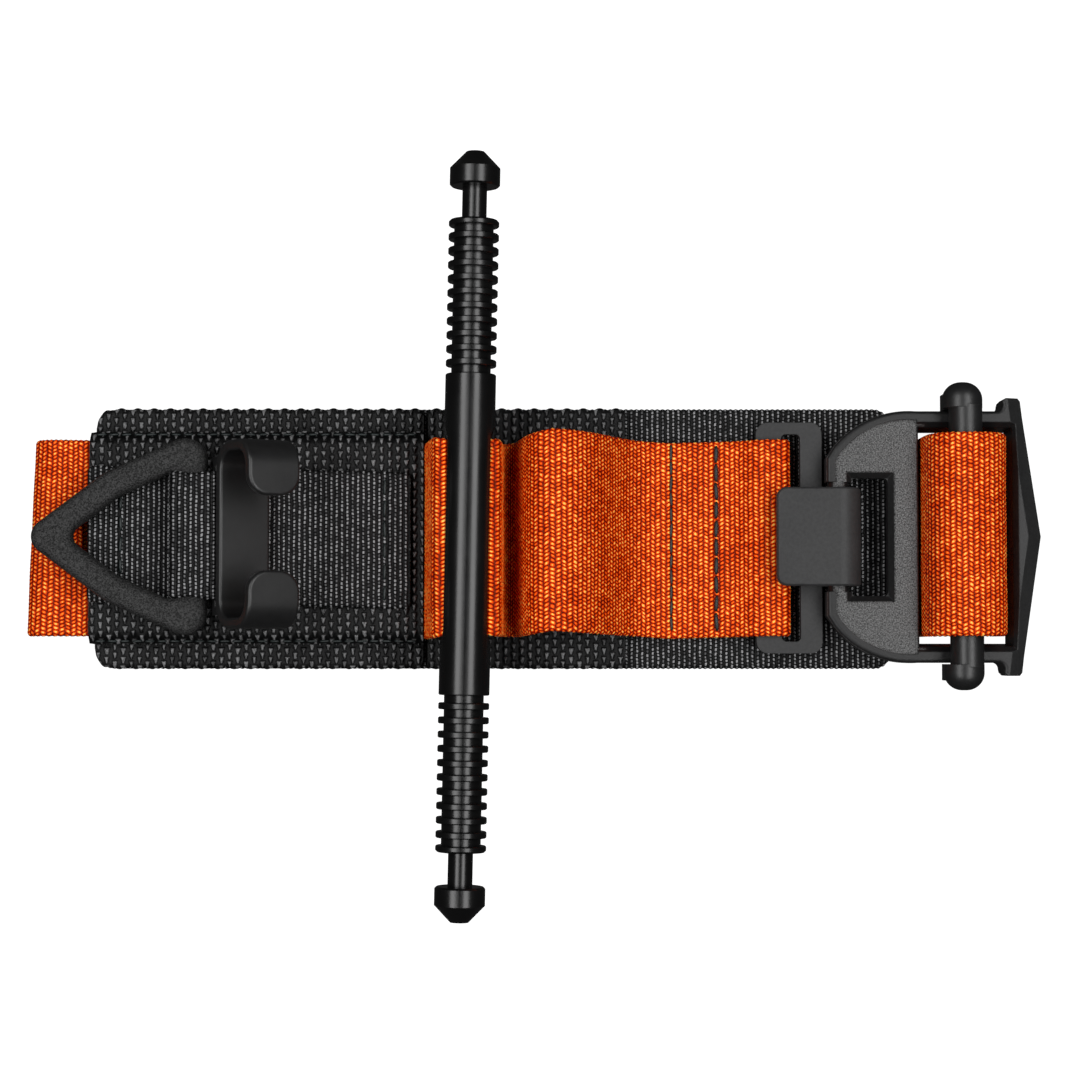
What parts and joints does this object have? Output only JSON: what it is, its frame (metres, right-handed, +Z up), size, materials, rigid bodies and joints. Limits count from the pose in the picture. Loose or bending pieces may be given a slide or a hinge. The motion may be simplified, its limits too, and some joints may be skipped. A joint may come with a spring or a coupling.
{
  "type": "windlass tourniquet",
  "caption": "Windlass tourniquet folded flat: orange strap through a black sleeve and a slotted rod, with a triangle ring, retention clip, hook plate and friction buckle.",
  "frame": {"origin": "on the rest plane, under the axis that the windlass turns about", "axes": "+X towards the buckle, +Y along the windlass rod, +Z up, away from the limb side"},
  "size_m": [0.1958, 0.1456, 0.0334],
  "materials": {
    "orange_webbing": "woven nylon webbing, ribbed",
    "fine_black_webbing": "fine ribbed nylon webbing",
    "coarse_black_webbing": "coarse heavy nylon webbing",
    "thread": "bonded sewing thread",
    "anodised_aluminium": "black anodised, satin, turned",
    "powder_coated_metal": "fine textured black powder coat",
    "blackened_steel": "matte dark grey phosphate",
    "black_plastic_clip": "moulded black nylon, semi-gloss",
    "black_plastic_buckle": "moulded black nylon with a grained face",
    "black_plastic_bar": "moulded black nylon, smooth"
  },
  "bodies": {
    "base": {"base_webbing": "fine_black_webbing", "grip_webbing_left": "coarse_black_webbing", "grip_webbing_right": "coarse_black_webbing", "sleeve_webbing": "coarse_black_webbing", "stitches_sewn_end_inner": "thread", "stitches_sewn_end_outer": "thread", "stitches_sleeve_lower": "thread", "stitches_sleeve_upper": "thread", "stitches_tab_left": "thread", "stitches_tab_right": "thread", "strap_hook_loop": "orange_webbing", "strap_in_sleeve": "orange_webbing", "strap_left_fold": "orange_webbing", "strap_main_run": "orange_webbing", "strap_sewn_end": "orange_webbing", "strap_tail_end": "orange_webbing", "strap_tail_fold_left": "orange_webbing", "strap_tail_fold_right": "orange_webbing", "strap_tail_middle": "orange_webbing", "strap_tail_top": "orange_webbing", "strap_windlass_loop": "orange_webbing", "tab_webbing": "fine_black_webbing"},
    "windlass": {"windlass": "anodised_aluminium"},
    "tri_ring": {"tri_ring": "powder_coated_metal"},
    "retention_clip": {"retention_clip": "black_plastic_clip"},
    "hook_plate": {"hook_plate": "blackened_steel", "base_webbing_under_hook": "fine_black_webbing", "strap_main_under_hook": "orange_webbing", "strap_tail_under_hook": "orange_webbing"},
    "buckle": {"buckle": "black_plastic_buckle", "base_webbing_end": "fine_black_webbing", "strap_main_under_buckle": "orange_webbing", "strap_tail_under_buckle": "orange_webbing"},
    "friction_bar": {"friction_bar": "black_plastic_bar", "strap_bar_loop": "orange_webbing"}
  },
  "joints": [
    {"name": "windlass_turn", "type": "hinge", "parent": "base", "child": "windlass", "pos_m": [0, 0, 0.0245], "axis": [0, 0, 1], "range_deg": [-45, 45], "deforming": ["strap_windlass_loop"]},
    {"name": "tri_ring_swing", "type": "hinge", "parent": "base", "child": "tri_ring", "pos_m": [-0.05295, 0, 0.016], "axis": [0, 1, 0], "range_deg": [0, 95]},
    {"name": "retention_clip_rock", "type": "hinge", "parent": "base", "child": "retention_clip", "pos_m": [-0.0384, 0, 0.0121], "axis": [0, -1, 0], "range_deg": [0, 12], "deforming": ["tab_webbing"]},
    {"name": "hook_plate_pivot", "type": "hinge", "parent": "base", "child": "hook_plate", "pos_m": [0.05825, 0, 0.0095], "axis": [0, -1, 0], "range_deg": [0, 30], "deforming": ["strap_hook_loop"]},
    {"name": "buckle_pivot", "type": "hinge", "parent": "hook_plate", "child": "buckle", "pos_m": [0.0714, 0, 0.0128], "axis": [0, -1, 0], "range_deg": [0, 40]},
    {"name": "friction_bar_slide", "type": "slide", "parent": "buckle", "child": "friction_bar", "axis": [1, 0, 0], "range_m": [-0.0025, 0.001], "deforming": ["strap_bar_loop"]}
  ]
}
